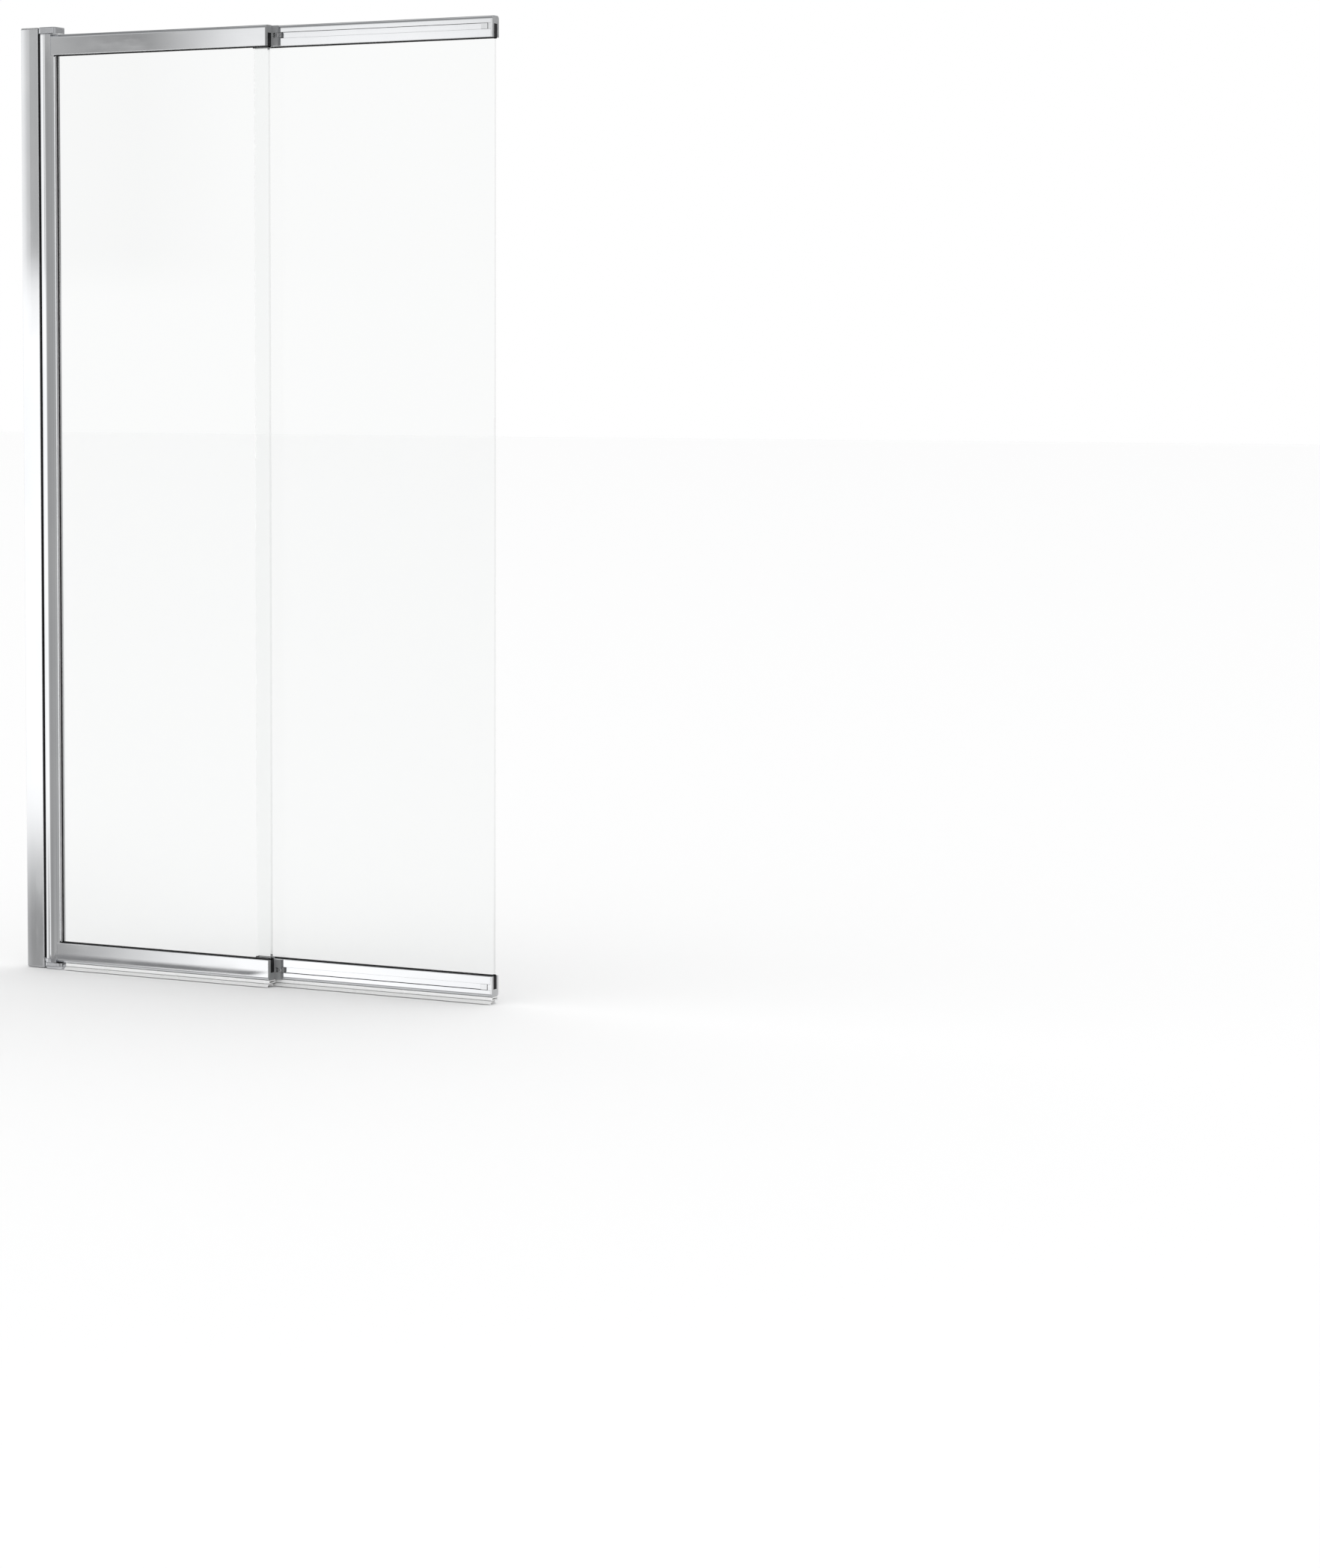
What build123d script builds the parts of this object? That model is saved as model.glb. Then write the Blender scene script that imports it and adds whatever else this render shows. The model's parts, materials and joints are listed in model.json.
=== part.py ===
from build123d import *
import os
from math import asin, degrees, radians, tan

os.makedirs("parts", exist_ok=True)

# Two-leaf bath screen: a leaf that swings on a wall profile, and a second leaf
# that slides along it. All sizes are in millimetres. X runs from the wall along
# the bath, Y from the outer side of the screen to the inner side, Z up from the
# rim of the bath. Y is zero in the middle of the wall profile.

# Overall sizes
screen_height = 1400
screen_width = 796

# Glass and the gasket that holds it in its slot
glass_thickness = 6
gasket_wall = 1.5
gasket_lip = 1.3
glass_edge_chamfer = 0.6
glass_setback = 0.7

# Rails, one section for both leaves
rail_height = 30
rail_depth = 18
rail_edge_radius = 4.5
rail_inner_radius = 0.8
slot_depth = 19
chamber_base = 2.3
chamber_height = 6.9
groove_opening = 8.5
groove_cavity = 11.5
groove_centre = 14.35
groove_lip = 1.1
groove_depth = 3.3

# Where the rails lie
rail_foot_gap = 0.5
rail_head_gap = 2
rail_left = 54.6
leaf_overlap = 37
leaf_offset = 2
rail_gap = 1

# Wall channel and the profile that is pushed over it
profile_width = 31.7
profile_depth = 18
profile_wall = 2
profile_crown_width = 16
profile_crown_radius = 115
channel_base = 2
channel_leg = 1.5
channel_reach = 20.5
channel_gap = 0.2
wall_cap_height = 1.5
wall_cap_rib = 5
wall_cap_rib_length = 4.5
wall_cap_rib_thickness = 1.7
wall_screw_hole_radius = 2.5
wall_screw_offsets = (-600, -200, 200, 600)
adjuster_offsets = (-550, 0, 550)
adjuster_x = 12

# Hinge
hinge_x = 45.3
post_radius = 13.5
post_wall = 2
post_channel_depth = 17
post_channel_slope = 10
post_channel_right = 59.7
post_crease_radius = 3
post_web = 2
glass_bite = 4.7
hinge_gap = 2.8
hinge_seal_clearance = 0.4
hinge_seal_angle = 17
hinge_seal_barb = 1.2
hinge_seal_barb_width = 1.6
bracket_height = 9
bracket_radius = 15
bracket_right = 65
bracket_corner_radius = 3
bracket_edge_radius = 1
bracket_foot_corner = 5
bracket_foot_radius = 4.5
bracket_spigot_left = 10
bracket_spigot_height = 22
bracket_spigot_gap = 0.5
bracket_screw_x = 23
bracket_screw_z = 15
pin_radius = 4
pin_reach = 33
pin_recess = 0.5
pin_chamfer = 1
bush_wall = 2
bush_end_gap = 0.6
washer_radius = 9
washer_thickness = 1
collar_radius = 14.6
collar_height = 6
collar_foot_gap = 0.35
head_gap = 0.6
head_flange = 1.5
plug_length = 21
arm_length = 15
rail_screw_x = 63

# Guides and end pieces
end_plate = 1.5
spigot_length = 14
guide_arm_length = 10
guide_block_thickness = 3.7
guide_arm_shoulder = 0.5
guide_screw_inset = 7.5
slider_nose = 3.5
slider_height = 7.2
slider_recess = 0.5
slider_screw_inset = 4.7
keyhole_inset = 3.5
keyhole_radius = 1.9
keyhole_spacing = 3.4
shoe_length = 23
shoe_inset = 3.5
shoe_strap = 0.6
shoe_foot = 2
outer_cap = 2.5
outer_plug = 7
outer_stop = 19

# Bath seal under both leaves
seal_depth = 17
seal_band = 4.8
seal_wall = 1.2
seal_flare = 5.5
seal_tip = 0.7
seal_neck = 3.2
seal_head = 7.2
seal_head_thickness = 1.5
seal_neck_inset = 1
fixed_seal_left = 71
slide_seal_inset = 8

# Fits
running_gap = 0.05
sliding_gap = 0.3
push_gap = 0.1
stop_gap = 0.5
cut_margin = 1

# Screws
small_screw_radius = 1.5
small_head_radius = 2.6
pan_screw_radius = 1.75
pan_head_radius = 3.6
pan_crown_radius = 2.9
pan_head_height = 2.2
drive_width = 0.8
drive_depth = 1.0
screw_tip_gap = 1

# Sizes that follow from the ones above
slot_width = glass_thickness + 2 * gasket_wall
rail_wall = (rail_depth - slot_width) / 2
collar_top = bracket_height + collar_height
rail_foot_z = bracket_height + rail_foot_gap
rail_head_drop = bracket_height + rail_head_gap
slide_y = rail_depth + rail_gap
slide_right = screen_width
slide_left = screen_width / 2 - leaf_offset
block_right = slide_left + leaf_overlap
fixed_rail_right = block_right - end_plate
guide_screw_x = fixed_rail_right - guide_screw_inset
guide_block_reach = block_right + guide_arm_length
slider_right = guide_block_reach + slider_nose
slide_travel = slide_right - outer_stop - stop_gap - slider_right
shoe_right = fixed_rail_right - shoe_inset
shoe_left = shoe_right - shoe_length
rail_top_z = screen_height - rail_head_drop
panel_mid_z = (rail_foot_z + rail_top_z) / 2
wall_mid_z = screen_height / 2
wall_screw_heights = [wall_mid_z + offset for offset in wall_screw_offsets]
adjuster_heights = [wall_mid_z + offset for offset in adjuster_offsets]
rail_inner_z = rail_foot_z + rail_height
glass_foot_z = rail_inner_z - slot_depth + gasket_wall
glass_head_z = 2 * panel_mid_z - glass_foot_z
groove_z = rail_foot_z + groove_centre
slide_rail_left = slide_left + end_plate
slide_rail_right = slide_right - outer_cap
recess_radius = post_radius + hinge_gap
hinge_seal_turn = degrees(asin(profile_depth / 2 / recess_radius)) - hinge_seal_angle / 2
fixed_glass_left = post_channel_right - glass_bite
fixed_glass_right = block_right - glass_setback
chamber_foot_z = rail_foot_z + chamber_base
corner = (Align.MIN, Align.MIN, Align.MIN)
towards_rail = (Align.MIN, Align.CENTER)
on_foot = (Align.CENTER, Align.MIN)
under_line = (Align.CENTER, Align.MAX)
standing = (Align.CENTER, Align.CENTER, Align.MIN)
hanging = (Align.CENTER, Align.CENTER, Align.MAX)
wall_mid = Plane.XY.offset(wall_mid_z)
panel_mid = Plane.XY.offset(panel_mid_z)
pieces = {}


def keep(name, built):
    """Label a finished piece and remember it under its node's name."""
    built.part.label = name
    pieces[name] = built.part


def block(x, y, z, mode=Mode.ADD):
    """A box between the two values of each pair."""
    with Locations((x[0], y[0], z[0])):
        Box(x[1] - x[0], y[1] - y[0], z[1] - z[0], align=corner, mode=mode)


def upper(lower, about):
    """The same piece at the head of the screen, mirrored from the one at the foot."""
    with BuildPart() as piece:
        mirror(lower.part, about=about)
    return piece


def cross_recess(top):
    """The cross that a screwdriver fits, cut down from the plane it is given."""
    with Locations(top):
        Box(3 * drive_width, drive_width, drive_depth, align=hanging, mode=Mode.SUBTRACT)
        Box(drive_width, 3 * drive_width, drive_depth, align=hanging, mode=Mode.SUBTRACT)


def countersunk_screw(x, y, z, direction, length):
    """A flat-headed screw whose head lies flush at its point, pointing along direction."""
    seat = Plane(origin=(x, y, z), z_dir=[-v for v in direction])
    with Locations(seat):
        Cylinder(small_screw_radius, length, align=hanging)
        Cone(small_screw_radius, small_head_radius, small_head_radius - small_screw_radius, align=hanging)
    cross_recess(seat)


def pan_screw(x, y, z, direction, length):
    """A round-headed screw whose head stands on its point, pointing along direction."""
    seat = Plane(origin=(x, y, z), z_dir=[-v for v in direction])
    with Locations(seat):
        Cylinder(pan_screw_radius, length, align=hanging)
        Cone(pan_head_radius, pan_crown_radius, pan_head_height, align=standing)
    cross_recess(seat.offset(pan_head_height))


def screw_hole(x, y, z, direction, radius, depth):
    """A plain hole for a screw that comes in at its point along direction."""
    with Locations(Plane(origin=(x, y, z), z_dir=[-v for v in direction])):
        Hole(radius + running_gap, depth=depth)


def countersunk_hole(x, y, z, direction, depth):
    """A hole with a cone for the head of a flat-headed screw."""
    with Locations(Plane(origin=(x, y, z), z_dir=[-v for v in direction])):
        CounterSinkHole(
            small_screw_radius + running_gap,
            small_head_radius + running_gap,
            depth=depth,
            counter_sink_angle=90,
        )


# Wall channel: a U that is screwed to the wall, open towards the screen
with BuildPart() as wall_channel:
    leg_y = profile_depth / 2 - profile_wall - channel_gap
    block((0, channel_base), (-leg_y, leg_y), (0, screen_height))
    for side in (-1, 1):
        leg = sorted((side * leg_y, side * (leg_y - channel_leg)))
        block((0, channel_reach), leg, (wall_cap_height, screen_height - wall_cap_height))
    for height in wall_screw_heights:
        screw_hole(channel_base, 0, height, (-1, 0, 0), wall_screw_hole_radius - running_gap, channel_base)
    for height in adjuster_heights:
        screw_hole(adjuster_x, leg_y, height, (0, -1, 0), pan_screw_radius, channel_leg)
keep("wall_channel", wall_channel)


def profile_outline():
    """The outer shape of the wall profile in plan, hollowed for the hinge post.

    Its front curves back a little towards the wall.
    """
    Rectangle(profile_width, profile_depth, align=towards_rail)
    with Locations((hinge_x, 0)):
        Circle(recess_radius, mode=Mode.SUBTRACT)
    with BuildSketch(mode=Mode.PRIVATE) as sliver:
        with Locations((0, -profile_depth / 2)):
            Rectangle(profile_crown_width, profile_wall, align=(Align.MIN, Align.MIN))
        with Locations((profile_crown_width, profile_crown_radius - profile_depth / 2)):
            Circle(profile_crown_radius, mode=Mode.SUBTRACT)
    add(sliver.sketch, mode=Mode.SUBTRACT)


# Wall profile: the bright cover that slides over the channel to set the width
with BuildPart() as wall_profile:
    with BuildSketch(Plane.XY.offset(wall_cap_height)):
        profile_outline()
        with BuildSketch(mode=Mode.PRIVATE) as hollow:
            Rectangle(profile_width, profile_depth - 2 * profile_wall, align=towards_rail)
            with Locations((hinge_x, 0)):
                Circle(recess_radius + profile_wall, mode=Mode.SUBTRACT)
        add(hollow.sketch, mode=Mode.SUBTRACT)
        for side in (-1, 1):
            with Locations((hinge_x, 0)):
                with PolarLocations(recess_radius, 1, start_angle=180 - side * hinge_seal_turn):
                    Rectangle(2 * hinge_seal_barb, hinge_seal_barb_width, mode=Mode.SUBTRACT)
    extrude(amount=screen_height - 2 * wall_cap_height)
    notch_y = leg_y - channel_leg
    for base in (0, screen_height - bracket_height - bracket_spigot_gap):
        block(
            (hinge_x - recess_radius - profile_wall - cut_margin, profile_width),
            (-notch_y, notch_y),
            (base, base + bracket_height + bracket_spigot_gap),
            mode=Mode.SUBTRACT,
        )
    for height in adjuster_heights:
        screw_hole(adjuster_x, profile_depth / 2, height, (0, -1, 0), pan_screw_radius, profile_wall)
    for height in (bracket_screw_z, screen_height - bracket_screw_z):
        screw_hole(bracket_screw_x, profile_depth / 2, height, (0, -1, 0), pan_screw_radius, profile_wall)
keep("wall_profile", wall_profile)

# Caps that close the two ends of the wall profile, each with two ribs inside it
with BuildPart() as wall_cap_bottom:
    with BuildSketch():
        profile_outline()
        Rectangle(channel_base, profile_depth, align=towards_rail, mode=Mode.SUBTRACT)
    extrude(amount=wall_cap_height)
    rib_outer = profile_depth / 2 - profile_wall
    for side in (-1, 1):
        rib = sorted((side * rib_outer, side * (rib_outer - wall_cap_rib_thickness)))
        block(
            (channel_reach + channel_gap, channel_reach + channel_gap + wall_cap_rib_length),
            rib,
            (wall_cap_height, wall_cap_height + wall_cap_rib),
        )
keep("wall_cap_bottom", wall_cap_bottom)
keep("wall_cap_top", upper(wall_cap_bottom, wall_mid))


def hinge_bracket(corner_radius, rim_radius):
    """A casting at the foot of the wall profile that reaches out of it under the hinge post."""
    inside_y = notch_y - bracket_spigot_gap
    with BuildPart() as bracket:
        with BuildSketch():
            with Locations((hinge_x, 0)):
                Circle(bracket_radius)
                Rectangle(4 * bracket_radius, 2 * post_radius, mode=Mode.INTERSECT)
                Rectangle(bracket_right - hinge_x, 2 * post_radius, align=towards_rail)
        extrude(amount=bracket_height)
        outer_corners = bracket.edges().filter_by(Axis.Z).group_by(Axis.X)[-1]
        fillet(outer_corners, corner_radius)
        rim = bracket.faces().sort_by(Axis.Z)[0].edges()
        fillet(rim, rim_radius)
        block(
            (bracket_spigot_left, hinge_x - bracket_radius / 2),
            (-inside_y, inside_y),
            (wall_cap_height + push_gap, bracket_height),
        )
        block(
            (bracket_spigot_left, hinge_x - recess_radius - profile_wall - bracket_spigot_gap),
            (-inside_y, inside_y),
            (bracket_height, bracket_spigot_height),
        )
        with Locations((hinge_x, 0, bracket_height)):
            Hole(pin_radius + running_gap / 2, depth=bracket_height - pin_recess)
        tip_depth = inside_y + screw_tip_gap
        screw_hole(bracket_screw_x, inside_y, bracket_screw_z, (0, -1, 0), pan_screw_radius, tip_depth)
    return bracket


# Hinge brackets: the lower one is well rounded under its rim, the upper one is its
# mirror image with a sharper edge
keep("hinge_bracket_bottom", hinge_bracket(bracket_foot_corner, bracket_foot_radius))
keep("hinge_bracket_top", upper(hinge_bracket(bracket_corner_radius, bracket_edge_radius), wall_mid))

# Hinge pins, pressed into the brackets
with BuildPart() as hinge_pin_bottom:
    with BuildSketch(Plane.XY.offset(pin_recess)):
        with Locations((hinge_x, 0)):
            Circle(pin_radius)
    extrude(amount=pin_reach - pin_recess)
    chamfer(hinge_pin_bottom.edges().group_by(Axis.Z)[-1], pin_chamfer)
keep("hinge_pin_bottom", hinge_pin_bottom)
keep("hinge_pin_top", upper(hinge_pin_bottom, wall_mid))

# Washer on the lower bracket, which carries the weight of both leaves
with BuildPart() as thrust_washer:
    with BuildSketch(Plane.XY.offset(bracket_height)):
        with Locations((hinge_x, 0)):
            Circle(washer_radius)
            Circle(pin_radius + running_gap, mode=Mode.SUBTRACT)
    extrude(amount=washer_thickness)
keep("thrust_washer", thrust_washer)

# Screws through the inner side of the wall profile: one holds each bracket,
# the others lock the profile on its channel
with BuildPart() as bracket_screws:
    for height in (bracket_screw_z, screen_height - bracket_screw_z):
        pan_screw(bracket_screw_x, profile_depth / 2, height, (0, -1, 0), profile_depth / 2)
keep("bracket_screws", bracket_screws)
adjuster_length = profile_wall + channel_gap + channel_leg + screw_tip_gap
with BuildPart() as adjuster_screws:
    for height in adjuster_heights:
        pan_screw(adjuster_x, profile_depth / 2, height, (0, -1, 0), adjuster_length)
keep("adjuster_screws", adjuster_screws)


def hinge_seal(side):
    """A rubber strip that closes the gap between the wall profile and the post on one side."""
    mid_angle = 180 - side * hinge_seal_turn
    inner = post_radius + hinge_seal_clearance
    start = mid_angle - hinge_seal_angle / 2
    foot = collar_top + stop_gap
    with BuildPart() as strip:
        with BuildSketch(Plane.XY.offset(foot)):
            with BuildLine():
                outer_arc = CenterArc((hinge_x, 0), recess_radius, start, hinge_seal_angle)
                inner_arc = CenterArc((hinge_x, 0), inner, start, hinge_seal_angle)
                Line(outer_arc @ 0, inner_arc @ 0)
                Line(outer_arc @ 1, inner_arc @ 1)
            make_face()
            with Locations((hinge_x, 0)):
                with PolarLocations(recess_radius, 1, start_angle=mid_angle):
                    Rectangle(2 * hinge_seal_barb - push_gap, hinge_seal_barb_width - push_gap)
        extrude(amount=screen_height - bracket_height - stop_gap - foot)
    return strip


keep("hinge_seal_front", hinge_seal(-1))
keep("hinge_seal_rear", hinge_seal(1))

# Hinge post: a round tube with a glass channel on its outer side, cut back at
# both ends where the rails butt against it
post_head_z = screen_height - bracket_height - head_gap - head_flange
channel_spread = (post_channel_right - hinge_x) * tan(radians(post_channel_slope))
channel_root = post_channel_depth / 2 + channel_spread
web_x = fixed_glass_left - gasket_wall
with BuildPart() as hinge_post:
    with BuildSketch(Plane.XY.offset(collar_top)) as post_section:
        with Locations((hinge_x, 0)):
            Circle(post_radius)
        with BuildLine():
            Polyline(
                (hinge_x, -channel_root),
                (post_channel_right, -post_channel_depth / 2),
                (post_channel_right, post_channel_depth / 2),
                (hinge_x, channel_root),
                close=True,
            )
        make_face()
        creases = post_section.vertices().filter_by(lambda v: hinge_x < v.X < post_channel_right - push_gap)
        fillet(creases, post_crease_radius)
        with Locations((web_x, 0)):
            Rectangle(post_radius, slot_width, align=towards_rail, mode=Mode.SUBTRACT)
        with BuildSketch(mode=Mode.PRIVATE) as bore:
            with Locations((hinge_x, 0)):
                Circle(post_radius - post_wall)
            with Locations((web_x - post_web, 0)):
                Rectangle(post_radius, 2 * post_radius, align=towards_rail, mode=Mode.SUBTRACT)
        add(bore.sketch, mode=Mode.SUBTRACT)
    extrude(amount=post_head_z - collar_top)
    rail_ends = ((0, rail_inner_z), (2 * panel_mid_z - rail_inner_z, screen_height))
    for z in rail_ends:
        block((rail_left, post_channel_right), (-post_radius, post_radius), z, mode=Mode.SUBTRACT)
    arm_half = slot_width / 2
    arm_windows = (
        (0, chamber_foot_z + chamber_height),
        (rail_top_z - chamber_base - chamber_height, screen_height),
    )
    for z in arm_windows:
        block((web_x - post_web - cut_margin, rail_left), (-arm_half, arm_half), z, mode=Mode.SUBTRACT)
keep("hinge_post", hinge_post)


def post_end(flange_base, flange_top, flange_radius, rail_base):
    """A casting that plugs one end of the post and reaches into the rail with an arm."""
    plug_radius = post_radius - post_wall - push_gap
    plug_right = web_x - post_web - push_gap
    arm_base = rail_base + chamber_base + push_gap
    arm_top = rail_base + chamber_base + chamber_height - push_gap
    with BuildPart() as piece:
        with BuildSketch(Plane.XY.offset(flange_base)):
            with Locations((hinge_x, 0)):
                Circle(flange_radius)
            with Locations((rail_left, 0)):
                Rectangle(2 * flange_radius, 2 * flange_radius, align=towards_rail, mode=Mode.SUBTRACT)
        extrude(amount=flange_top - flange_base)
        with BuildSketch(Plane.XY.offset(flange_top)):
            with Locations((hinge_x, 0)):
                Circle(plug_radius)
            with Locations((plug_right, 0)):
                Rectangle(2 * plug_radius, 2 * plug_radius, align=towards_rail, mode=Mode.SUBTRACT)
        extrude(amount=plug_length)
        arm_y = arm_half - push_gap
        block((hinge_x, rail_left + arm_length), (-arm_y, arm_y), (arm_base, arm_top))
        with Locations((hinge_x, 0, flange_base)):
            Cylinder(
                pin_radius + bush_wall,
                pin_reach - flange_base + bush_end_gap,
                align=standing,
                mode=Mode.SUBTRACT,
            )
        screw_hole(rail_screw_x, 0, arm_base, (0, 0, 1), small_screw_radius, arm_top - arm_base)
    return piece


# Foot of the post: its collar turns on the washer, with a small step cut for it
collar_base = bracket_height + collar_foot_gap
foot_casting = post_end(collar_base, collar_top, collar_radius, rail_foot_z)
with BuildPart() as post_foot:
    add(foot_casting.part)
    with Locations((hinge_x, 0, collar_base)):
        Cylinder(
            washer_radius + stop_gap,
            bracket_height + washer_thickness + push_gap - collar_base,
            align=standing,
            mode=Mode.SUBTRACT,
        )
keep("post_foot", post_foot)

# Head of the post, built from the wall's head downwards and mirrored into place
head_base = bracket_height + head_gap
post_head_lower = post_end(head_base, head_base + head_flange, post_radius, rail_head_drop)
keep("post_head", upper(post_head_lower, wall_mid))


def pivot_bush(base):
    """A plastic bush that lines the bore for one hinge pin."""
    with BuildPart() as bush:
        with BuildSketch(Plane.XY.offset(base)):
            with Locations((hinge_x, 0)):
                Circle(pin_radius + bush_wall - running_gap / 2)
                Circle(pin_radius + running_gap, mode=Mode.SUBTRACT)
        extrude(amount=pin_reach - base)
    return bush


keep("pivot_bush_bottom", pivot_bush(bracket_height + washer_thickness + push_gap))
keep("pivot_bush_top", upper(pivot_bush(head_base), wall_mid))


def rail_outline(x, centre_y):
    """The outer shape of a bottom rail at one place along it, open where the pane stands."""
    with BuildSketch(Plane.YZ.offset(x)) as outline:
        with Locations((centre_y, rail_foot_z)):
            Rectangle(rail_depth, rail_height, align=on_foot)
        fillet(outline.vertices().group_by(Axis.Y)[0], rail_edge_radius)
        fillet(outline.vertices().group_by(Axis.Y)[-1], rail_inner_radius)
        with Locations((centre_y, rail_inner_z)):
            Rectangle(slot_width, slot_depth, align=under_line, mode=Mode.SUBTRACT)
    return outline.sketch


def bottom_rail(left, right, centre_y, groove_side, screw_places, seal_slot):
    """A rail of one leaf at the foot of the screen, with its groove on one side."""
    outline = rail_outline(left, centre_y)
    half_slot = slot_width / 2
    mouth = sorted(centre_y + groove_side * (rail_depth / 2 - v) for v in (0, groove_lip))
    cavity = sorted(centre_y + groove_side * (rail_depth / 2 - v) for v in (groove_lip, groove_depth))
    mouth_z = (groove_z - groove_opening / 2, groove_z + groove_opening / 2)
    cavity_z = (groove_z - groove_cavity / 2, groove_z + groove_cavity / 2)
    chamber_z = (chamber_foot_z, chamber_foot_z + chamber_height)
    with BuildPart() as rail:
        extrude(outline, amount=right - left)
        block((left, right), (centre_y - half_slot, centre_y + half_slot), chamber_z, mode=Mode.SUBTRACT)
        block((left, right), mouth, mouth_z, mode=Mode.SUBTRACT)
        block((left, right), cavity, cavity_z, mode=Mode.SUBTRACT)
        if seal_slot:
            half_neck = seal_neck / 2 + push_gap
            seal_y = (centre_y - half_neck, centre_y + half_neck)
            block((left, right), seal_y, (rail_foot_z, chamber_foot_z), mode=Mode.SUBTRACT)
        for x in screw_places:
            countersunk_hole(x, centre_y, rail_foot_z, (0, 0, 1), chamber_base)
    return rail


# Rails of the swinging leaf, with the groove on the inner side
fixed_screws = (rail_screw_x, guide_screw_x)
fixed_rail = (rail_left, fixed_rail_right, 0, 1, fixed_screws)
keep("fixed_rail_bottom", bottom_rail(*fixed_rail, True))
keep("fixed_rail_top", upper(bottom_rail(*fixed_rail, False), panel_mid))

# Rails of the sliding leaf, with the groove on the outer side
slide_rail = (slide_rail_left, slide_rail_right, slide_y, -1, ())
keep("slide_rail_bottom", bottom_rail(*slide_rail, True))
keep("slide_rail_top", upper(bottom_rail(*slide_rail, False), panel_mid))

# Screws that hold the rails on the post and the guide blocks in the rails
rail_screw_length = chamber_base + chamber_height - screw_tip_gap
with BuildPart() as rail_screws:
    countersunk_screw(rail_screw_x, 0, rail_foot_z, (0, 0, 1), rail_screw_length)
    countersunk_screw(rail_screw_x, 0, rail_top_z, (0, 0, -1), rail_screw_length)
keep("rail_screws", rail_screws)
with BuildPart() as guide_block_screws:
    countersunk_screw(guide_screw_x, 0, rail_foot_z, (0, 0, 1), rail_screw_length)
    countersunk_screw(guide_screw_x, 0, rail_top_z, (0, 0, -1), rail_screw_length)
keep("guide_block_screws", guide_block_screws)


def glass_pane(left, right, centre_y):
    """A pane of toughened glass with its long edges ground."""
    with BuildPart() as pane:
        half = glass_thickness / 2
        block((left, right), (centre_y - half, centre_y + half), (glass_foot_z, glass_head_z))
        chamfer(pane.edges().filter_by(Axis.Z), glass_edge_chamfer)
    return pane


keep("fixed_glass", glass_pane(fixed_glass_left, fixed_glass_right, 0))
keep("sliding_glass", glass_pane(slide_left + glass_setback, slide_right - glass_setback, slide_y))


def rail_gasket(left, right, centre_y, closed_ends):
    """A U of rubber round the foot of a pane, a little proud of its rail, closed where told."""
    foot = rail_inner_z - slot_depth
    head = rail_inner_z + gasket_lip
    with BuildPart() as gasket:
        with BuildSketch(Plane.YZ.offset(left)):
            with Locations((centre_y, foot)):
                Rectangle(slot_width, head - foot, align=on_foot)
            with Locations((centre_y, foot + gasket_wall)):
                Rectangle(glass_thickness, head - foot, align=on_foot, mode=Mode.SUBTRACT)
        extrude(amount=right - left)
        for x in closed_ends:
            slot_y = (centre_y - slot_width / 2, centre_y + slot_width / 2)
            block((x, x + glass_setback), slot_y, (foot, rail_inner_z))
    return gasket


block_end = block_right - glass_setback
slide_end = slide_right - glass_setback
fixed_gasket = rail_gasket(post_channel_right + push_gap, block_end, 0, (block_end,))
keep("fixed_gasket_bottom", fixed_gasket)
keep("fixed_gasket_top", upper(fixed_gasket, panel_mid))
slide_gasket = rail_gasket(slide_left + glass_setback, slide_end, slide_y, (slide_left, slide_end))
keep("slide_gasket_bottom", slide_gasket)
keep("slide_gasket_top", upper(slide_gasket, panel_mid))

# The same gasket standing in the channel of the post, between the rail gaskets
with BuildPart() as post_gasket:
    post_gasket_foot = rail_inner_z + gasket_lip
    with BuildSketch(Plane.XY.offset(post_gasket_foot)):
        with Locations((web_x, 0)):
            Rectangle(post_channel_right + gasket_lip - web_x, slot_width, align=towards_rail)
        with Locations((fixed_glass_left, 0)):
            Rectangle(post_radius, glass_thickness, align=towards_rail, mode=Mode.SUBTRACT)
    extrude(amount=2 * (panel_mid_z - post_gasket_foot))
keep("post_gasket", post_gasket)


def chamber_spigot(left, right, centre_y):
    """A tongue that is pushed into the chamber of a rail."""
    half = slot_width / 2 - push_gap
    base = chamber_foot_z + push_gap
    block((left, right), (centre_y - half, centre_y + half), (base, base + chamber_height - 2 * push_gap))


# Guide blocks on the free ends of the fixed rails. The arm of each lies in front
# of the sliding rail, and a plug in the groove stops the shoe of the sliding leaf.
groove_floor = rail_depth / 2 - groove_depth
groove_mouth = rail_depth / 2 - groove_lip
arm_front = slide_y - rail_depth / 2 - sliding_gap - guide_block_thickness
arm_rear = arm_front + guide_block_thickness
slider_front = arm_front + slider_recess
block_outline = rail_outline(fixed_rail_right, 0)
with BuildPart() as guide_block_bottom:
    extrude(block_outline, amount=end_plate)
    chamber_spigot(fixed_rail_right - spigot_length, fixed_rail_right, 0)
    half_cavity = groove_cavity / 2 - push_gap
    block(
        (shoe_right + stop_gap, fixed_rail_right),
        (groove_floor + push_gap, groove_mouth - push_gap),
        (groove_z - half_cavity, groove_z + half_cavity),
    )
    block(
        (fixed_rail_right, guide_block_reach),
        (arm_front, arm_rear),
        (rail_foot_z + guide_arm_shoulder, rail_inner_z - guide_arm_shoulder),
    )
    block(
        (block_right, guide_block_reach),
        (arm_front, arm_rear),
        (groove_z - slider_height / 2, groove_z + slider_height / 2),
        mode=Mode.SUBTRACT,
    )
    screw_hole(guide_screw_x, 0, chamber_foot_z, (0, 0, 1), small_screw_radius, chamber_height)
keep("guide_block_bottom", guide_block_bottom)
keep("guide_block_top", upper(guide_block_bottom, panel_mid))

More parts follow.
